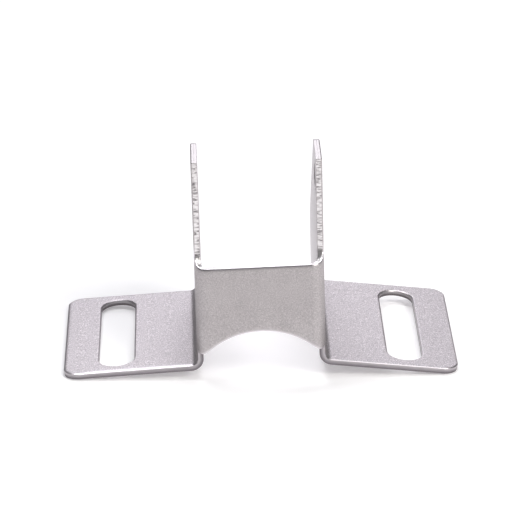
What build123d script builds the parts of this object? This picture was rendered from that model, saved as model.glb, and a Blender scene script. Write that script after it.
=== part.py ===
from build123d import *
from math import cos, hypot, radians, sin, tan
import os

# A mounting bracket folded from one blank punched out of 2 mm steel sheet, in millimetres.
# A channel, made of a web and two side walls, opens to the back.  Above the web each wall
# goes on up as a tapered ear, and at its foot it folds outwards into a wing with a long slot.
# Forming frame: X across the bracket, Y from the web to the back, Z up.  X = 0 is the middle
# of the channel, Y = 0 the front of the web, Z = 0 the corner of wall face and wing face.

sheet = 2.0  # thickness of the blank
bend_radius = 2.2  # inside radius of all four folds
edge_break = 0.25  # taken off the blank's cut edges to deburr them

channel_width = 40.0  # over both side walls
channel_depth = 64.5  # from the front of the web to the walls' back edges
ear_setback = 4.5  # from the front of the web to the ears' and wings' front edges
web_top = 34.1  # top edge of the web
web_bottom = 5.1  # lowest points of the web, beside the arch
web_top_radius = 4.0  # the web's top edge sweeps up into the ears' front edges
web_foot_radius = 0.8  # and its lowest points run into the walls' front edges
web_tip_radius = 1.5  # rounds the tips between the arch and the folds
arch_radius = 24.5  # clearance cut in the web's lower edge
arch_top = 12.5  # highest point of the arch
arch_shift = 0.3  # the arch lies this far right of the middle

ear_top = 67.4  # the ears' level top edge
ear_top_depth = 17.8  # length of that level edge, front to back
ear_back_angle = 45.0  # the back edge's lean from upright
ear_corner_radius = 5.0  # rounds the ears' top back corner
ear_hole_diameter = 9.0  # clearance for an 8 mm cross bolt
ear_hole_inset = 10.0  # hole centre, back from the ears' front edge
ear_hole_drop = 10.0  # hole centre, down from the ears' top edge

wing_length = 42.0  # from the channel's outer face to the wing's end
wing_corner_radius = 5.0
slot_width = 11.0  # clearance for a 10 mm bolt
slot_travel = 40.5  # between the centres of the slot's round ends
slot_offset = 25.5  # slot centre line, from the channel's outer face

left_droop = 2.5  # the wings were folded by unequal amounts, so each
right_droop = 7.2  # hangs below square by its own angle, in degrees
blank_skew = 0.8  # the blank lay askew in the folding tool, in degrees

half_width = channel_width / 2
outer_radius = bend_radius + sheet
wing_depth = channel_depth - ear_setback
skew = tan(radians(blank_skew))  # rise of the blank's lines, to the right and then to the back


def column():
    """The web and both walls at full height: a U that opens to the back."""
    path = FilletPolyline(
        (-half_width, channel_depth),
        (-half_width, 0),
        (half_width, 0),
        (half_width, channel_depth),
        radius=outer_radius,
    )
    return extrude(make_face(offset(path, amount=sheet, side=Side.LEFT)), ear_top)


def across(side_view, slope=0):
    """A side view carried right across the channel, rising to the right by the slope."""
    start = Plane((-half_width, 0, -half_width * slope), x_dir=(0, 1, 0), z_dir=(1, 0, 0))
    length = hypot(channel_width, channel_width * slope)
    return extrude(start * side_view, length, dir=(1, 0, slope))


def wall_view():
    """The walls and ears from the side, down to where the wings' folds take over."""
    top_back = ear_setback + ear_top_depth
    slope_foot = ear_top - (channel_depth - top_back) / tan(radians(ear_back_angle))
    outline = Polyline(
        (0, outer_radius),
        (0, ear_top),
        (top_back, ear_top),
        (channel_depth, slope_foot),
        (channel_depth, outer_radius),
        close=True,
    )
    face = make_face(outline)
    face = fillet(face.vertices().sort_by_distance((top_back, ear_top))[0], ear_corner_radius)
    hole = Circle(ear_hole_diameter / 2)
    return face - Pos(ear_setback + ear_hole_inset, ear_top - ear_hole_drop) * hole


def gap_above():
    """What the blank leaves out between the ears, from the side."""
    outline = Polyline(
        (-sheet, web_top),
        (ear_setback, web_top),
        (ear_setback, 2 * ear_top),
        (-sheet, 2 * ear_top),
        close=True,
    )
    face = make_face(outline)
    return fillet(face.vertices().sort_by_distance((ear_setback, web_top))[0], web_top_radius)


def gap_below():
    """What the blank leaves out below the web, from the front, with the arch."""
    outline = Polyline(
        (-channel_width, web_bottom - skew * channel_width),
        (channel_width, web_bottom + skew * channel_width),
        (channel_width, -channel_width),
        (-channel_width, -channel_width),
        close=True,
    )
    face = make_face(outline) + Pos(arch_shift, arch_top - arch_radius) * Circle(arch_radius)
    tips = face.vertices().sort_by_distance((arch_shift, arch_top))[:2]
    return fillet(tips, web_tip_radius)


def channel():
    """Web, walls and ears, with the arch cut in the web's lower edge."""
    body = column() & across(wall_view())
    body -= across(gap_above(), skew)
    body -= extrude(Plane.XZ * gap_below(), -ear_setback)
    return body


def wing(side, droop):
    """One wing with its fold, as a right-hand wing: the left one has to be mirrored."""
    lean = radians(droop)
    root_height = side * skew * half_width
    path = FilletPolyline(
        (half_width, root_height + 2 * outer_radius),
        (half_width, root_height),
        (half_width + wing_length * cos(lean), root_height - wing_length * sin(lean)),
        radius=bend_radius,
    )
    section = Plane.XZ * make_face(offset(path, amount=sheet, side=Side.RIGHT))
    backwards = Vector(0, 1, side * skew)
    body = extrude(Pos(0, ear_setback, 0) * section, wing_depth * backwards.length, dir=backwards)
    corners = body.edges().filter_by(lambda edge: edge.length < 1.1 * sheet).sort_by(Axis.X)[-2:]
    body = fillet(corners, wing_corner_radius)
    outwards = Vector(cos(lean), 0, -sin(lean))
    top = Plane((half_width, ear_setback, root_height), x_dir=outwards, z_dir=outwards.cross(backwards))
    slot = Pos(slot_offset, wing_depth / 2) * Rot(0, 0, 90) * SlotCenterToCenter(slot_travel, slot_width)
    return body - extrude(top * slot, 2 * sheet, both=True)


def folded():
    """The channel with both wings, its sharp inside corners below the web rounded."""
    body = channel() + wing(1, right_droop) + mirror(wing(-1, left_droop), Plane.YZ)
    feet = []
    for side in (-1, 1):
        foot = (side * (half_width - sheet / 2), ear_setback, web_bottom)
        feet.append(body.edges().sort_by_distance(foot)[0])
    return fillet(feet, web_foot_radius)


def cut_edges(body):
    """The edges where the cut rim of the blank meets one of the sheet's two faces."""
    found = []
    for edge in body.edges():
        middle = edge @ 0.5
        normals = [face.normal_at(middle) for face in body.faces() if edge in face.edges()]
        if len(normals) == 2 and normals[0].get_angle(normals[1]) > 30:
            found.append(edge)
    return found


def contact(side, droop, depth):
    """A point on the lower edge of a wing's end, at a depth from the wing's front."""
    lean = radians(droop)
    out = half_width + wing_length * cos(lean) - sheet * sin(lean)
    height = side * skew * (half_width + depth) - wing_length * sin(lean) - sheet * cos(lean)
    return Vector(side * out, ear_setback + depth, height)


def on_floor(body):
    """The bracket as it rests, its bounding box's bottom centre moved to the origin."""
    left_front = contact(-1, left_droop, wing_corner_radius)
    left_back = contact(-1, left_droop, wing_depth - wing_corner_radius)
    right_front = contact(1, right_droop, wing_corner_radius)
    floor_x = right_front - left_front
    floor = Plane(left_front, x_dir=floor_x, z_dir=floor_x.cross(left_back - left_front))
    body = floor.to_local_coords(body)
    box = body.bounding_box()
    return Pos(-box.center().X, -box.center().Y, -box.min.Z) * body


def bracket():
    """The whole bracket, deburred and resting on the floor."""
    body = folded()
    return on_floor(chamfer(cut_edges(body), edge_break))


if __name__ == "__main__":
    os.makedirs("parts", exist_ok=True)
    part = bracket()
    part.label = "folded_bracket"
    export_step(part, "parts/folded_bracket.step")
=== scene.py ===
import math

import bmesh
import bpy
from mathutils import Matrix, Vector, noise
from mathutils.geometry import delaunay_2d_cdt
from mathutils.kdtree import KDTree


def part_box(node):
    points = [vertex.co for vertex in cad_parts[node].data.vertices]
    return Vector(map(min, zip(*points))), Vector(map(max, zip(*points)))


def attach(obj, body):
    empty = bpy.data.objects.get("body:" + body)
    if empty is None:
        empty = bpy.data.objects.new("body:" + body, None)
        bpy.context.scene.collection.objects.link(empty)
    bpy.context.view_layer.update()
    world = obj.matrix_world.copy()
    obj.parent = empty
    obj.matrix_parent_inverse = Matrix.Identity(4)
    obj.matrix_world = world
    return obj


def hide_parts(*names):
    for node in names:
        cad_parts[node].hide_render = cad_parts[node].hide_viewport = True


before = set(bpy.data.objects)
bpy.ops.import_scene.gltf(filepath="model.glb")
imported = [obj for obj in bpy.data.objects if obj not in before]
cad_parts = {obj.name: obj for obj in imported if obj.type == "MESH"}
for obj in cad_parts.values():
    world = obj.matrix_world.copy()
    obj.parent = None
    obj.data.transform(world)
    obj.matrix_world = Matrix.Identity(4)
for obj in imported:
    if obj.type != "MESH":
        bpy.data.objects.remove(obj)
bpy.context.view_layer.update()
mm = 0.001
touch = 0.01  # mm, points nearer than this are one
weld = 0.0001  # mm, faces whose corners are nearer than this are joined
snap = 0.00001  # mm, a cut that passes a corner nearer than this goes through it

scene = bpy.context.scene
scene.view_settings.view_transform = "Standard"


def linear(hexColour):
    # sRGB to linear, with an alpha of 1
    values = [int(hexColour[i:i + 2], 16) / 255 for i in (1, 3, 5)]
    return tuple(v / 12.92 if v <= 0.04045 else ((v + 0.055) / 1.055) ** 2.4 for v in values) + (1.0,)


def addNode(tree, kind, settings=None, links=None):
    # settings: an input's name or number, several inputs' names, a ramp's stops or a property
    # links: from an input's name or number to the output socket that feeds it
    node = tree.nodes.new(kind)
    for name, value in (settings or {}).items():
        if isinstance(name, tuple):
            for one, number in zip(name, value):
                node.inputs[one].default_value = number
        elif isinstance(name, int) or name in node.inputs:
            node.inputs[name].default_value = value
        elif name == "stops":
            for _ in value[2:]:  # a new ramp has two already
                node.color_ramp.elements.new(0.5)
            for element, (position, hexColour) in zip(node.color_ramp.elements, value):
                element.position = position
                element.color = linear(hexColour)
        else:
            setattr(node, name, value)
    for name, socket in (links or {}).items():
        tree.links.new(socket, node.inputs[name])
    return node


def fade(value, start, end):
    # 0 up to the start, 1 from the end on
    return min(1, max(0, (value - start) / (end - start)))


# camera: a long lens about a metre away, looking down at the front
view = {
    "centre": (0.0, 0.0, 30.0),  # mm, what the camera turns about
    "lookDown": 22.657,  # degrees
    "turn": 1.54,  # degrees, round to the bracket's left
    "roll": 0.23,  # degrees
    "distance": 957.4,  # mm
    "aside": (-0.369, 1.466),  # mm, right and up
    "focal": 209.1,  # mm on a 36 mm sensor
    "reach": 10000.0,  # mm, nothing further away is seen
}


def addCamera(v):
    look, turn, roll = (math.radians(v[k]) for k in ("lookDown", "turn", "roll"))
    right = Vector((math.cos(turn), -math.sin(turn), 0))
    level = Vector((math.sin(turn), math.cos(turn), 0))
    forward = level * math.cos(look) - Vector((0, 0, math.sin(look)))
    up = level * math.sin(look) + Vector((0, 0, math.cos(look)))
    place = Vector(v["centre"]) - forward * v["distance"] - right * v["aside"][0] - up * v["aside"][1]
    rolledRight = right * math.cos(roll) - up * math.sin(roll)
    rolledUp = right * math.sin(roll) + up * math.cos(roll)
    data = bpy.data.cameras.new("productCamera")
    data.lens = v["focal"]
    data.clip_end = v["reach"] * mm
    camera = bpy.data.objects.new("productCamera", data)
    scene.collection.objects.link(camera)
    turned = Matrix((rolledRight, rolledUp, -forward)).transposed().to_4x4()
    camera.matrix_world = Matrix.Translation(place * mm) @ turned
    scene.camera = camera


addCamera(view)
print("camera placed")


# the bracket: a flat blank punched from sheet, then folded four times; a point on the blank has u along
# the web and the walls, from the middle of the web, v up it, and a height through the sheet that runs
# from -1 on the channel's inner face to 1 on its outer one
bracket = {
    "sheet": 2.0,  # all sizes in mm, angles in degrees
    "bendRadius": 2.2,  # inside the folds
    "halfWidth": 20.0,  # of the channel
    "depth": 64.5,  # front of the web to the walls' back edges
    "setback": 4.5,  # front of the web to the ears' and wings' front edges
    "webTop": 34.1,
    "webBottom": 5.1,
    "webTopRadius": 4.0,
    "footRadius": 0.8,
    "tipRadius": 1.5,
    "archRadius": 24.5,
    "archTop": 12.5,
    "archShift": 0.3,
    "earTop": 67.4,
    "earTopDepth": 17.8,
    "earCorner": 5.0,
    "earFrontCorner": 0.3,
    "slopeFootRadius": 1.5,  # where the ears' sloping edge meets the walls' back edge
    "earHole": 9.0,
    "earHoleInset": 10.0,  # from the ears' front and top edges
    "wingLength": 42.0,
    "wingCorner": 5.0,
    "slotWidth": 11.0,
    "slotTravel": 40.5,
    "slotOffset": 25.5,
    "droop": {1: 7.2, -1: 2.5},  # how far the right and left wing hang below square
    "skew": 0.8,  # how far askew the blank lay in the folding tool
    "foldSteps": 12,  # faces round each fold
    "crease": 28.0,  # faces that meet at a larger angle than this keep a crisp edge
    "spacing": 0.6,  # of points along the cut edges
    "fineSpacing": 0.24,  # along the ears' front edges
    "grid": 4.0,  # of points inside the faces
    # the punched edge from the outer face round to the inner one: inset, height; each part starts
    # where the one before it ends
    "rollOver": ((1.6, 1.0), (1.25, 1.0), (0.98, 0.99), (0.72, 0.957), (0.48, 0.9), (0.28, 0.833),
                 (0.12, 0.76), (0.02, 0.7), (0.0, 0.66)),
    "rim": ((0.0, 0.66), (0.0, 0.4), (0.0, 0.12), (0.03, -0.1), (0.05, -0.36), (0.06, -0.62), (0.06, -0.88)),
    "burrEdge": ((0.06, -0.88), (0.1, -0.96), (0.2, -1.0), (0.6, -1.0)),
    # the rolled edge's width and drop, as shares of the above
    "leftFrontRoll": (2.0, 0.6),  # on the left wing's front
    "rightRoll": (0.45, 0.75),  # all along the right wing
    "steepRoll": (0.5, 1.2),  # round the slots and holes and up the ears
    "wingRollFade": (0.5, -2.5),  # v between which the walls' edge turns into the wings'
    "frontRollFade": 4.0,  # length over which the left front roll starts at the wing's corner
    "earRollFade": (3.0, 7.0),  # above the web's top edge, where the ears' steep roll starts
    # marks that the tools left on the rim
    "markReach": 0.5,  # how far into the face they fade out
    "tearDepth": 0.02,  # of the torn lower part
    "tearTop": 0.4,  # its highest point
    "tearGrain": (3.0, 0.4),  # size of its lumps, along the edge and through the sheet
    "shearedFrom": -1.0,  # above the web's top edge, where the sheared rim starts
    "ribDepth": 0.07,  # of the ribs that the shear left on the ears' fronts
    "ribPitch": 1.5,
    "ribLean": 1.4,
    "ribLeanRun": 5.0,  # length of edge over which their lean changes
    "ribEnds": (2.0, 0.5),  # they stop this far above the web's top edge and below the ears' tops
    "ribSweep": 1.6,  # and go this far round the sweep from the web's top edge
    "ribSeed": 3,
    "leanSeed": 7,
}
middle = bracket["bendRadius"] + bracket["sheet"] / 2  # radius of the folds' middle layer
outer = bracket["bendRadius"] + bracket["sheet"]
flatHalf = bracket["halfWidth"] - outer  # where the flat of the web ends
wallStart = flatHalf + middle * math.pi / 2  # and where, along the blank, the walls begin
skew = math.tan(math.radians(bracket["skew"]))
# the piece's material slot that each finish takes
finishSlots = {"blasted": 0, "punched": 1, "sheared": 2, "pierced": 3}


def alongBlank(y):
    return wallStart + y - outer


def wingFold(side, y):
    # height on the wall where the wing's fold starts, and the angle it turns through
    bend = math.radians(90 - bracket["droop"][side])
    corner = side * skew * (bracket["halfWidth"] + y - bracket["setback"])
    return corner + bracket["bendRadius"] * math.tan(bend / 2), bend


def wingHeight(side, out, y):
    # v of a point on the wing, out from the corner of wall and wing
    start, bend = wingFold(side, y)
    return start + bracket["bendRadius"] * math.tan(bend / 2) - middle * bend - out


def foldPoint(u, v, w):
    # where a point of the blank ends up; w is how far it lies outside the sheet's middle layer
    side = 1 if u > 0 else -1
    run = abs(u)
    turn = min(max((run - flatHalf) / middle, 0), math.pi / 2)
    x = min(run, flatHalf) + (middle + w) * math.sin(turn)
    y = outer - (middle + w) * math.cos(turn) + max(run - wallStart, 0)
    start, bend = wingFold(side, y)
    if run < wallStart or v >= start:
        return Vector((side * x, y, v))
    turn = min((start - v) / middle, bend)
    rest = start - v - middle * turn
    x = bracket["halfWidth"] + bracket["bendRadius"] - (middle - w) * math.cos(turn) + rest * math.sin(turn)
    z = start - (middle - w) * math.sin(turn) - rest * math.cos(turn)
    return Vector((side * x, y, z))


def blankOutline():
    # corners of the blank with the metal on the left: u, v, radius, spacing of the points after it
    b = bracket
    coarse, fine = b["spacing"], b["fineSpacing"]
    front = alongBlank(b["setback"])
    back = alongBlank(b["depth"])
    slopeFoot = b["earTop"] - (back - front - b["earTopDepth"])  # the slope falls at 45 degrees
    archCentre = b["archTop"] - b["archRadius"]
    lean = {}
    halves = {}
    for side in (1, -1):
        tipHeight = b["webBottom"] + side * skew * flatHalf
        reach = b["archRadius"] + b["tipRadius"]
        lean[side] = math.acos((tipHeight + b["tipRadius"] - archCentre) / reach)
        tipOut = (b["archRadius"] - (tipHeight - archCentre) * math.cos(lean[side])) / math.sin(lean[side])
        lift = side * skew * b["halfWidth"]
        halves[side] = [
            (tipOut + side * b["archShift"], tipHeight, b["tipRadius"], coarse),
            (front, tipHeight, b["footRadius"], coarse),
            (front, wingHeight(side, b["wingLength"], b["setback"]), b["wingCorner"], coarse),
            (back, wingHeight(side, b["wingLength"], b["depth"]), b["wingCorner"], coarse),
            (back, slopeFoot, b["slopeFootRadius"], coarse),
            (front + b["earTopDepth"], b["earTop"], b["earCorner"], coarse),
            (front, b["earTop"], b["earFrontCorner"], fine),
            (front, b["webTop"] + lift, b["webTopRadius"], coarse),
        ]
    # the arch is one corner, where the lines that touch it at its two ends meet
    apexUp = b["archRadius"] * (math.sin(lean[1]) + math.sin(lean[-1])) / math.sin(lean[1] + lean[-1])
    apexOut = (b["archRadius"] - apexUp * math.cos(lean[1])) / math.sin(lean[1])
    apex = (b["archShift"] + apexOut, archCentre + apexUp, b["archRadius"], coarse)
    spacings = [c[3] for c in halves[-1]]
    left = [(-c[0], c[1], c[2], s) for c, s in zip(halves[-1], [coarse] + spacings[:-1])]
    return [apex] + halves[1] + left[::-1]


def roundedBox(middleU, heightAt, halfLong, halfHigh, radius):
    # corners of a hole, clockwise so that the metal is on the left
    corners = []
    for right, up in ((-1, -1), (-1, 1), (1, 1), (1, -1)):
        u = middleU + right * halfLong
        corners.append((u, heightAt(u) + up * halfHigh, radius, bracket["spacing"]))
    return corners


def blankHoles():
    b = bracket
    holes = []
    half = b["slotWidth"] / 2
    radius = b["earHole"] / 2
    slotMiddle = alongBlank((b["setback"] + b["depth"]) / 2)
    holeMiddle = alongBlank(b["setback"] + b["earHoleInset"])
    for side in (1, -1):
        slot = roundedBox(slotMiddle, lambda u: wingHeight(side, b["slotOffset"], u - alongBlank(0)),
                          b["slotTravel"] / 2 + half, half, half)
        hole = roundedBox(holeMiddle, lambda u: b["earTop"] - b["earHoleInset"], radius, radius, radius)
        for corners in (slot, hole):
            if side < 0:
                corners = [(-c[0],) + c[1:] for c in corners[::-1]]
            holes.append(corners)
    return holes


def cornerArc(corners, i, inset):
    # the rounded corner's points, with the whole outline moved into the metal by the inset
    u, v, radius, spacing = corners[i]
    here = Vector((u, v))
    into = (here - Vector(corners[i - 1][:2])).normalized()
    out = (Vector(corners[(i + 1) % len(corners)][:2]) - here).normalized()
    turn = math.atan2(into.x * out.y - into.y * out.x, into.dot(out))
    leftIn = Vector((-into.y, into.x))
    leftOut = Vector((-out.y, out.x))
    here += (leftIn + leftOut) * inset / (1 + leftIn.dot(leftOut))
    steps = max(2, math.ceil(radius * abs(turn) / spacing))
    side = 1 if turn > 0 else -1
    radius = max(radius - side * inset, 0)
    centre = here - into * radius * math.tan(abs(turn) / 2) + leftIn * side * radius
    arm = -leftIn * side * radius
    return [centre + Matrix.Rotation(turn * k / steps, 2) @ arm for k in range(steps + 1)]


def cutLoop(corners, inset):
    # the whole outline as points, as many of them for every inset
    count = len(corners)
    plain = [cornerArc(corners, i, 0) for i in range(count)]
    moved = [cornerArc(corners, i, inset) for i in range(count)]
    points = []
    for i in range(count):
        after = (i + 1) % count
        run = (plain[after][0] - plain[i][-1]).length
        steps = math.ceil(run / corners[i][3])
        points += moved[i] if run > touch else moved[i][:-1]
        points += [moved[i][-1].lerp(moved[after][0], k / steps) for k in range(1, steps)]
    return points


def hasRibs(p):
    # the shear also marked the upper half of the sweep from the web's top edge
    b = bracket
    ahead = alongBlank(b["setback"]) - abs(p.x)
    foot, head = b["ribEnds"]
    return -touch < ahead < b["ribSweep"] and b["webTop"] + foot < p.y < b["earTop"] - head


def toolMark(p, height):
    # mm that the punch's tear or, on the ears' fronts, the shear's ribs sink into the cut rim
    b = bracket
    if hasRibs(p):
        lean = height * b["ribLean"] * noise.noise((p.x, p.y / b["ribLeanRun"], b["leanSeed"]))
        # noise rises and falls about once in two units
        return b["ribDepth"] * (1 + noise.noise((p.x, 2 * (p.y + lean) / b["ribPitch"], b["ribSeed"])))
    along, through = b["tearGrain"]
    tear = noise.noise((p.x / along, p.y / along, height / through))
    return b["tearDepth"] * (1 + tear) * max(b["tearTop"] - height, 0)


def rollShape(p, isHole):
    # the rolled edge's width and drop as shares of the usual ones: wide where the punch was worn, along
    # the left wing's front, narrow all along the right wing, steep round the holes and up the ears
    b = bracket
    onEar = fade(p.y - b["webTop"], *b["earRollFade"])
    onWing = fade(p.y, *b["wingRollFade"])
    if isHole:
        shape, share = b["steepRoll"], 1
    elif onEar:
        shape, share = b["steepRoll"], onEar
    elif p.x > 0:
        shape, share = b["rightRoll"], onWing
    elif -p.x > alongBlank(b["setback"]) + touch:
        shape, share = b["leftFrontRoll"], 0
    else:
        corner = wingHeight(-1, b["wingLength"] - b["wingCorner"], b["setback"])
        shape, share = b["leftFrontRoll"], onWing * fade(p.y - corner, 0, b["frontRollFade"])
    return [1 + (s - 1) * share for s in shape]


def addRing(bm, base, normals, points, isHole, inset, height):
    # the tool's marks fade out as the ring lies further into the face
    strength = max(0, 1 - inset / bracket["markReach"])
    verts = []
    for p, n, q in zip(points, normals, base):
        width, drop = rollShape(q, isHole) if height > 0 else (1, 1)
        p = q + (p - q) * width - n * strength * toolMark(q, height)
        verts.append(bm.verts.new((p.x, p.y, 1 - (1 - height) * drop)))
    return verts


def addBand(bm, rings, starts, spans, heights, isRim, isHole):
    # a strip of faces between two rings; their map holds mm along the edge and the height
    uv = bm.loops.layers.uv["punchedMap"]
    for i in range(len(spans)):
        face = bm.faces.new((rings[0][i - 1], rings[0][i], rings[1][i], rings[1][i - 1]))
        if isRim:
            isSheared = rings[0][i].co.y > bracket["webTop"] + bracket["shearedFrom"]
            face.material_index = finishSlots["pierced" if isHole else "sheared" if isSheared else "punched"]
        ends = (starts[i - 1], starts[i - 1] + spans[i])
        for loop, end, level in zip(face.loops, (0, 1, 1, 0), (0, 0, 1, 1)):
            loop[uv].uv = (ends[end], heights[level])


def fillSkin(bm, rings, upwards):
    # the flat of one face of the sheet: triangles between its rings and a grid of points
    known = [v for ring in rings for v in ring]
    points = [v.co.xy for v in known]
    height = known[0].co.z
    uv = bm.loops.layers.uv["punchedMap"]
    loops = []
    edges = []
    for ring in rings:
        first = sum(len(r) for r in loops)
        loops.append(list(range(first, first + len(ring))))
        edges += [(loops[-1][i - 1], loops[-1][i]) for i in range(len(ring))]
    tree = KDTree(len(points))
    for i, p in enumerate(points):
        tree.insert((p.x, p.y, 0), i)
    tree.balance()
    grid = bracket["grid"]
    columns = [p.x / grid for p in points]
    rows = [p.y / grid for p in points]
    for column in range(math.floor(min(columns)), math.ceil(max(columns)) + 1):
        for row in range(math.floor(min(rows)), math.ceil(max(rows)) + 1):
            p = Vector((column * grid, row * grid))
            if tree.find((p.x, p.y, 0))[2] > grid / 2:
                points.append(p)
    regions = [loops[0]] + [loop[::-1] for loop in loops[1:]]
    # 1 keeps only the triangles inside the outline, and those inside a hole belong to two regions
    coords, _, faces, origVerts, _, origFaces = delaunay_2d_cdt(points, edges, regions, 1, snap)
    verts = {}
    for face, inside in zip(faces, origFaces):
        if inside != [0]:
            continue
        corners = []
        for i in face:
            if i not in verts:
                old = [k for k in origVerts[i] if k < len(known)]
                verts[i] = known[old[0]] if old else bm.verts.new((coords[i].x, coords[i].y, height))
            corners.append(verts[i])
        if not upwards:
            corners.reverse()
        for loop in bm.faces.new(corners).loops:
            loop[uv].uv = (0, height)


def cutAcross(bm, side, point, normal, reach):
    # new edges across the blank where a fold needs them
    faces = [f for f in bm.faces if side * f.calc_center_median().x > reach]
    parts = list({e for f in faces for e in f.edges}) + list({v for f in faces for v in f.verts})
    bmesh.ops.bisect_plane(bm, geom=faces + parts, dist=snap, plane_co=point, plane_no=normal)


def cutFolds(bm):
    steps = bracket["foldSteps"]
    front = alongBlank(bracket["setback"])
    shares = [k / steps for k in range(-1, steps + 2)]  # one more cut on each side keeps the flats flat
    for side in (1, -1):
        start, bend = wingFold(side, bracket["setback"])
        for share in shares:
            u = flatHalf + share * (wallStart - flatHalf)
            cutAcross(bm, side, (side * u, 0, 0), (1, 0, 0), flatHalf / 2)
        for share in shares:
            v = start - share * middle * bend
            cutAcross(bm, side, (side * front, v, 0), (-skew, 1, 0), front)


def seatOnFloor(bm):
    # three points of the wings' lower end edges touch the floor, and the sheet is centred where the CAD's is
    b = bracket
    ends = (b["setback"] + b["wingCorner"], b["depth"] - b["wingCorner"])
    touching = []
    for side, y in ((-1, ends[0]), (-1, ends[1]), (1, ends[0])):
        v = wingHeight(side, b["wingLength"], y)
        touching.append(foldPoint(side * alongBlank(y), v, -b["sheet"] / 2))
    across = (touching[2] - touching[0]).normalized()
    up = across.cross(touching[1] - touching[0]).normalized()
    turned = Matrix((across, up.cross(across), up)).to_4x4()
    bmesh.ops.transform(bm, matrix=turned @ Matrix.Translation(-touching[0]), verts=bm.verts)
    lowest, highest = (Vector(corner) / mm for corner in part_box("folded_bracket"))
    xs, ys, zs = ([v.co[axis] for v in bm.verts] for axis in range(3))
    shift = Vector((
        (lowest.x + highest.x - min(xs) - max(xs)) / 2,
        (lowest.y + highest.y - min(ys) - max(ys)) / 2,
        lowest.z - min(zs),
    ))
    print("seated by", [round(s, 3) for s in shift])
    bmesh.ops.transform(bm, matrix=Matrix.Scale(mm, 4) @ Matrix.Translation(shift), verts=bm.verts)


def makeBracket():
    b = bracket
    loops = [blankOutline()] + blankHoles()
    bm = bmesh.new()
    bm.loops.layers.uv.new("punchedMap")
    profile = [(inset, height, False) for inset, height in b["rollOver"]]
    profile += [(inset, height, True) for inset, height in b["rim"][1:]]
    profile += [(inset, height, False) for inset, height in b["burrEdge"][1:]]
    outerRings = []
    innerRings = []
    for corners in loops:
        isHole = corners is not loops[0]
        base = cutLoop(corners, 0)
        count = len(base)
        spans = [(base[i] - base[i - 1]).length for i in range(count)]
        starts = [sum(spans[1:i + 1]) for i in range(count)]
        along = [(base[(i + 1) % count] - base[i - 1]).normalized() for i in range(count)]
        normals = [Vector((t.y, -t.x)) for t in along]
        rings = [addRing(bm, base, normals, cutLoop(corners, inset), isHole, inset, height)
                 for inset, height, _ in profile]
        for i in range(1, len(rings)):
            heights = (profile[i - 1][1], profile[i][1])
            addBand(bm, rings[i - 1:i + 1], starts, spans, heights, profile[i][2], isHole)
        outerRings.append(rings[0])
        innerRings.append(rings[-1])
    fillSkin(bm, outerRings, True)
    fillSkin(bm, innerRings, False)
    bmesh.ops.remove_doubles(bm, verts=bm.verts, dist=weld)
    print("blank punched,", len(bm.faces), "faces")
    cutFolds(bm)
    for vert in bm.verts:
        vert.co = foldPoint(vert.co.x, vert.co.y, vert.co.z * b["sheet"] / 2)
    seatOnFloor(bm)
    bmesh.ops.recalc_face_normals(bm, faces=bm.faces)
    for face in bm.faces:
        face.smooth = True
    for edge in bm.edges:
        edge.smooth = edge.is_manifold and edge.calc_face_angle() < math.radians(b["crease"])
    print("blank folded,", len(bm.faces), "faces,", sum(not e.is_manifold for e in bm.edges), "open edges")
    mesh = bpy.data.meshes.new("foldedSheet")
    bm.to_mesh(mesh)
    bm.free()
    piece = bpy.data.objects.new("foldedSheet", mesh)
    scene.collection.objects.link(piece)
    return piece


sheet = makeBracket()
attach(sheet, "root")
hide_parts("folded_bracket")


fromRange = ("From Min", "From Max")  # of a Map Range node
toRange = ("To Min", "To Max")
noiseRange = (0.35, 0.65)  # where most of a Noise node's values lie
# a Mix node's inputs go by number: 0 is the share, 2 and 3 take numbers, 6 and 7 colours


def steelShader(name):
    mat = bpy.data.materials.new(name)
    mat.use_nodes = True
    shader = mat.node_tree.nodes["Principled BSDF"]
    shader.inputs["Metallic"].default_value = 1.0
    return mat, mat.node_tree, shader


def joinShader(tree, shader, sockets):
    # sockets: from the shader's input to the output socket that feeds it
    for name, socket in sockets.items():
        tree.links.new(socket, shader.inputs[name])


# bead-blasted steel: fine glass beads leave overlapping dimples, so the face is matt and without grain
# direction; its sparkle in tiny points is painted into the colour as glints on the faces that look up, the
# face inside the channel is painted lighter, painted light, and the rolled edges, rubbed smoother by
# handling, are painted brighter, a painted highlight
blastedFinish = {
    "dimple": 0.36,  # mm; real ones are 0.1 to 0.2, drawn coarser because those don't show
    "sparkle": 0.36,  # mm, size of the painted glints, brighter points in the colour of the faces that look up
    "dimpleDepth": 0.01,  # mm
    "bump": 0.5,
    "blotch": 6.0,  # mm, slight unevenness of the blasting
    "blotchShare": 0.15,
    "tones": ((0.36, "#a59fa1"), (0.575, "#bcb7b8"), (0.8, "#d5d0d1")),  # from dimples to ridges
    # painted glints: brighter tones for the faces that look up
    "paintedGlintTones": ((0.32, "#9f999d"), (0.5, "#b6b1b4"), (0.68, "#e6e1e4")),
    "lookUp": (0.3, 0.9),  # the normal's rise, from no painted glints to full painted glints
    "fleck": "#969090",  # sparse specks of scale that the blasting left
    "fleckEvery": 11.0,  # mm
    "fleckWidth": 0.5,  # mm
    "fleckEdge": (0.7, 1.3),  # shares of half its width between which it fades out
    "roughness": (0.46, 0.58),
    "paintedInnerLight": "#dcd8da",  # painted light: the face inside the channel is painted lighter
    "paintedInnerLightFrom": (-0.97, -0.99),  # height through the sheet
    "wearAndSheen": "#e2dde1",  # the rolled edges: smoother from wear, and painted brighter, a painted highlight
    "wearAndSheenFrom": (1.04, 0.86),  # height through the sheet, from neither worn nor painted bright to worn and painted bright
    "wearAndSheenPatches": 0.12,  # how much that height varies
    "wearAndSheenBelow": (46.0, 42.0),  # mm; the wings and the web are worn and painted bright, the ears hardly
    "wornRoughness": 0.3,
}


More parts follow.
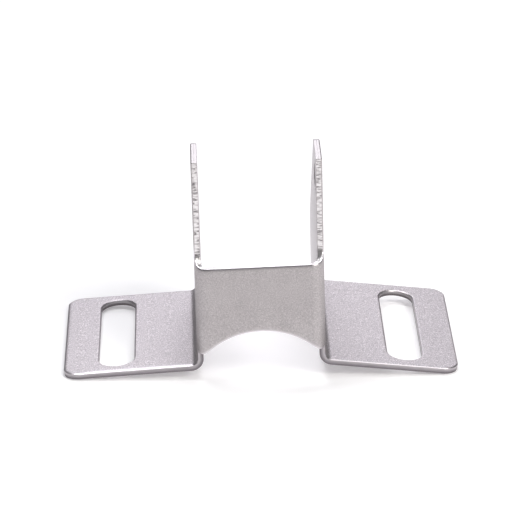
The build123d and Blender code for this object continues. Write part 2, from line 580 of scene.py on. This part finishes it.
def blastedSteel(f):
    mat, tree, shader = steelShader("blastedSteel")
    place = addNode(tree, "ShaderNodeTexCoord").outputs["Object"]
    dimple = addNode(tree, "ShaderNodeTexNoise",
                     {"Scale": 1 / mm / f["dimple"], "Detail": 2, "Roughness": 0.65},
                     {"Vector": place}).outputs["Fac"]
    sparkle = addNode(tree, "ShaderNodeTexNoise",
                      {"Scale": 1 / mm / f["sparkle"], "Detail": 1.5, "Roughness": 0.7},
                      {"Vector": place}).outputs["Fac"]
    blotch = addNode(tree, "ShaderNodeTexNoise", {"Scale": 1 / mm / f["blotch"], "Detail": 3},
                     {"Vector": place}).outputs["Fac"]
    level = addNode(tree, "ShaderNodeMath", {"operation": "MULTIPLY_ADD", 1: f["blotchShare"]},
                    {0: blotch, 2: dimple}).outputs[0]
    tone = addNode(tree, "ShaderNodeValToRGB", {"stops": f["tones"]}, {0: level}).outputs[0]
    bright = addNode(tree, "ShaderNodeValToRGB", {"stops": f["paintedGlintTones"]}, {0: sparkle}).outputs[0]
    # faces that look up get the brighter tones, painted glints
    normal = addNode(tree, "ShaderNodeNewGeometry").outputs["Normal"]
    upward = addNode(tree, "ShaderNodeSeparateXYZ", links={0: normal}).outputs["Z"]
    glintShare = addNode(tree, "ShaderNodeMapRange", {fromRange: f["lookUp"]}, {"Value": upward}).outputs[0]
    face = addNode(tree, "ShaderNodeMix", {"data_type": "RGBA"}, {0: glintShare, 6: tone, 7: bright}).outputs[2]
    # sparse flecks
    cells = addNode(tree, "ShaderNodeTexVoronoi", {"Scale": 1 / mm / f["fleckEvery"]}, {"Vector": place})
    edge = [share * f["fleckWidth"] / 2 / f["fleckEvery"] for share in f["fleckEdge"]]
    near = addNode(tree, "ShaderNodeMapRange", {fromRange: edge, toRange: (1, 0)},
                   {"Value": cells.outputs["Distance"]}).outputs[0]
    flecked = addNode(tree, "ShaderNodeMix", {"data_type": "RGBA", 7: linear(f["fleck"])},
                      {0: near, 6: face}).outputs[2]
    # the map's second number is the height through the sheet, which leaves 1 and -1 only at the edges
    punched = addNode(tree, "ShaderNodeUVMap", {"uv_map": "punchedMap"}).outputs[0]
    height = addNode(tree, "ShaderNodeSeparateXYZ", links={0: punched}).outputs["Y"]
    # painted light: the face inside the channel, at heights near -1, is painted lighter
    inside = addNode(tree, "ShaderNodeMapRange", {fromRange: f["paintedInnerLightFrom"]},
                     {"Value": height}).outputs[0]
    unworn = addNode(tree, "ShaderNodeMix", {"data_type": "RGBA", 7: linear(f["paintedInnerLight"])},
                     {0: inside, 6: flecked}).outputs[2]
    # the rolled edges: lower roughness from wear, and a brighter colour that is a painted highlight
    lifted = addNode(tree, "ShaderNodeMath", {"operation": "ABSOLUTE"}, {0: height}).outputs[0]
    patchy = addNode(tree, "ShaderNodeMath", {"operation": "MULTIPLY_ADD", 1: f["wearAndSheenPatches"]},
                     {0: sparkle, 2: lifted}).outputs[0]
    edgeWearAndSheen = addNode(tree, "ShaderNodeMapRange", {fromRange: f["wearAndSheenFrom"]}, {"Value": patchy}).outputs[0]
    up = addNode(tree, "ShaderNodeSeparateXYZ", links={0: place}).outputs["Z"]
    low = addNode(tree, "ShaderNodeMapRange", {fromRange: [z * mm for z in f["wearAndSheenBelow"]]},
                  {"Value": up}).outputs[0]
    wearAndSheen = addNode(tree, "ShaderNodeMath", {"operation": "MULTIPLY"}, {0: edgeWearAndSheen, 1: low}).outputs[0]
    colour = addNode(tree, "ShaderNodeMix", {"data_type": "RGBA", 7: linear(f["wearAndSheen"])},
                     {0: wearAndSheen, 6: unworn}).outputs[2]
    rough = addNode(tree, "ShaderNodeMapRange", {fromRange: noiseRange, toRange: f["roughness"]},
                    {"Value": dimple}).outputs[0]
    roughness = addNode(tree, "ShaderNodeMix", {3: f["wornRoughness"]}, {0: wearAndSheen, 2: rough}).outputs[0]
    bump = addNode(tree, "ShaderNodeBump", {"Strength": f["bump"], "Distance": f["dimpleDepth"] * mm},
                   {"Height": dimple}).outputs[0]
    joinShader(tree, shader, {"Base Color": colour, "Roughness": roughness, "Normal": bump})
    return mat


# punched steel: the punch first shears the sheet, which burnishes the upper part of the cut bright,
# then tears it, which leaves the lower part duller; fine streaks run along the edge
punchedFinish = {
    "streak": (5.0, 0.22),  # mm, along the edge and through the sheet
    "streakDepth": 0.03,  # mm
    "bump": 0.5,
    "waver": 1.1,  # mm, how far the streaks carry the line between burnish and tear
    "burnish": (-1.0, 0.6),  # height through the sheet, from tear to burnish
    "tones": ((0.15, "#777277"), (0.5, "#938e92"), (0.8, "#b4afb2")),  # from tear to burnish
    "roughness": (0.5, 0.36),
}


def punchedSteel(name, f):
    mat, tree, shader = steelShader(name)
    place = addNode(tree, "ShaderNodeUVMap", {"uv_map": "punchedMap"}).outputs[0]
    shrunk = addNode(tree, "ShaderNodeVectorMath", {"operation": "DIVIDE", 1: f["streak"] + (1,)},
                     {0: place}).outputs[0]
    streak = addNode(tree, "ShaderNodeTexNoise", {"Scale": 1, "Detail": 4, "Roughness": 0.7},
                     {"Vector": shrunk}).outputs["Fac"]
    height = addNode(tree, "ShaderNodeSeparateXYZ", links={0: place}).outputs["Y"]
    level = addNode(tree, "ShaderNodeMath", {"operation": "MULTIPLY_ADD", 1: f["waver"]},
                    {0: streak, 2: height}).outputs[0]
    share = addNode(tree, "ShaderNodeMapRange", {fromRange: [f["waver"] / 2 + h for h in f["burnish"]]},
                    {"Value": level}).outputs[0]
    tone = addNode(tree, "ShaderNodeValToRGB", {"stops": f["tones"]}, {0: share}).outputs[0]
    rough = addNode(tree, "ShaderNodeMapRange", {toRange: f["roughness"]}, {"Value": share}).outputs[0]
    bump = addNode(tree, "ShaderNodeBump", {"Strength": f["bump"], "Distance": f["streakDepth"] * mm},
                   {"Height": streak}).outputs[0]
    joinShader(tree, shader, {"Base Color": tone, "Roughness": rough, "Normal": bump})
    return mat


# pierced steel: the slots and bolt holes, punched with a tighter tool, are burnished less deep, with streaks
# through the sheet; their walls are painted darker, painted shade inside the holes
piercedFinish = {
    "streak": (0.5, 2.5),
    "streakDepth": 0.03,
    "bump": 0.6,
    "waver": 0.6,
    "burnish": (-1.0, 0.6),
    # painted shade: darker than the punched edges' tones
    "tones": ((0.15, "#5c575a"), (0.5, "#7d787a"), (0.85, "#a8a4a6")),
    "roughness": (0.5, 0.36),
}


# sheared steel: the ears' fronts were cropped by a worn shear, whose chatter leaves bright ribs
# with dark tears between them, straight through the sheet or a little aslant
shearedFinish = {
    "rib": (1.5, 6.0),  # mm, pitch along the edge and length through the sheet
    "ribDepth": 0.06,  # mm
    "bump": 0.7,
    "lean": 0.7,  # how far the ribs wander aslant
    "tones": ((0.36, "#878385"), (0.46, "#d0cccd"), (0.6, "#eeebec")),  # from tear to rib
    "roughness": (0.46, 0.3),
    "lookUp": (0.35, 0.6),  # the normal's rise, from ribbed to smooth with a painted highlight
    "paintedTopTone": (0.62, 0.43),  # painted highlight: where the edges that look up lie between tear and rib, on the web's and on the ears'
    "paintedTopToneFrom": (50.0, 60.0),  # mm above the floor, between the web's edge and the ears'
    "paintedCapShade": 0.38,  # painted shade on the edges that turn down to the back
    "lookBack": (0.04, 0.2),  # the normal's lean to the back, from the painted highlight to the painted shade
}


def shearedSteel(f):
    mat, tree, shader = steelShader("shearedSteel")
    place = addNode(tree, "ShaderNodeUVMap", {"uv_map": "punchedMap"}).outputs[0]
    shrunk = addNode(tree, "ShaderNodeVectorMath", {"operation": "DIVIDE", 1: f["rib"] + (1,)},
                     {0: place}).outputs[0]
    # noise rises and falls about once in two units
    rib = addNode(tree, "ShaderNodeTexNoise",
                  {"Scale": 2, "Detail": 2.5, "Roughness": 0.55, "Distortion": f["lean"]},
                  {"Vector": shrunk}).outputs["Fac"]
    # the edges that look up have no ribs and a painted highlight, brighter on the web than on the ears
    normal = addNode(tree, "ShaderNodeNewGeometry").outputs["Normal"]
    parts = addNode(tree, "ShaderNodeSeparateXYZ", links={0: normal}).outputs
    smoothTopAndHighlight = addNode(tree, "ShaderNodeMapRange", {fromRange: f["lookUp"]}, {"Value": parts["Z"]}).outputs[0]
    spot = addNode(tree, "ShaderNodeTexCoord").outputs["Object"]
    up = addNode(tree, "ShaderNodeSeparateXYZ", links={0: spot}).outputs["Z"]
    level = addNode(tree, "ShaderNodeMapRange",
                    {fromRange: [z * mm for z in f["paintedTopToneFrom"]], toRange: f["paintedTopTone"]},
                    {"Value": up}).outputs[0]
    # painted shade: the edges that turn down to the back take a darker tone
    back = addNode(tree, "ShaderNodeMapRange", {fromRange: f["lookBack"]}, {"Value": parts["Y"]}).outputs[0]
    paintedTopShading = addNode(tree, "ShaderNodeMix", {3: f["paintedCapShade"]}, {0: back, 2: level}).outputs[0]
    mark = addNode(tree, "ShaderNodeMix", links={0: smoothTopAndHighlight, 2: rib, 3: paintedTopShading}).outputs[0]
    tone = addNode(tree, "ShaderNodeValToRGB", {"stops": f["tones"]}, {0: mark}).outputs[0]
    rough = addNode(tree, "ShaderNodeMapRange", {fromRange: noiseRange, toRange: f["roughness"]},
                    {"Value": mark}).outputs[0]
    bump = addNode(tree, "ShaderNodeBump", {"Strength": f["bump"], "Distance": f["ribDepth"] * mm},
                   {"Height": mark}).outputs[0]
    joinShader(tree, shader, {"Base Color": tone, "Roughness": rough, "Normal": bump})
    return mat


# in the order of finishSlots
for finish in (blastedSteel(blastedFinish), punchedSteel("punchedSteel", punchedFinish),
               shearedSteel(shearedFinish), punchedSteel("piercedSteel", piercedFinish)):
    sheet.data.materials.append(finish)
print("finishes made")


# studio: white paper on a light table, under a large overhead softbox, with others at the upper left,
# behind, and high and low at the front right
studio = {
    "paper": "#f7f7f8",
    "paperSide": 6000.0,  # mm
    "paperRoughness": 0.8,
    "glow": 0.18,  # of the light table, which thins the shadows
    "air": "#f7f6fa",
    "airStrength": 0.1,
    "aim": (0, 0, 30),  # mm, where the softboxes point
    "softboxes": {  # place in mm, side in mm, power in W, colour
        "topSoftbox": ((0, 50, 750), 500, 2.4, "#fdfcff"),
        "upperLeftSoftbox": ((-200, 120, 740), 200, 0.88, "#ffffff"),
        "backSoftbox": ((0, 800, 600), 600, 3.0, "#fbfaff"),
        "frontSoftbox": ((400, -450, 600), 350, 3.4, "#fffdf8"),
        "frontRightSoftbox": ((600, -600, 300), 450, 0.8, "#fffcf6"),
    },
}


def addStudio(st):
    bpy.ops.mesh.primitive_plane_add(size=st["paperSide"] * mm)
    floor = bpy.context.object
    floor.name = "studioFloor"
    mat = bpy.data.materials.new("whitePaper")
    mat.use_nodes = True
    shader = mat.node_tree.nodes["Principled BSDF"]
    shader.inputs["Base Color"].default_value = linear(st["paper"])
    shader.inputs["Roughness"].default_value = st["paperRoughness"]
    shader.inputs["Emission Color"].default_value = linear(st["paper"])
    shader.inputs["Emission Strength"].default_value = st["glow"]
    floor.data.materials.append(mat)
    world = bpy.data.worlds.new("studioAir")
    world.use_nodes = True
    air = world.node_tree.nodes["Background"]
    air.inputs["Color"].default_value = linear(st["air"])
    air.inputs["Strength"].default_value = st["airStrength"]
    scene.world = world
    for name, (place, side, power, colour) in st["softboxes"].items():
        data = bpy.data.lights.new(name, "AREA")
        data.size = side * mm
        data.energy = power
        data.color = linear(colour)[:3]
        lamp = bpy.data.objects.new(name, data)
        lamp.location = Vector(place) * mm
        lamp.rotation_euler = (Vector(st["aim"]) - Vector(place)).to_track_quat("-Z", "Y").to_euler()
        scene.collection.objects.link(lamp)


addStudio(studio)
print("studio lit")
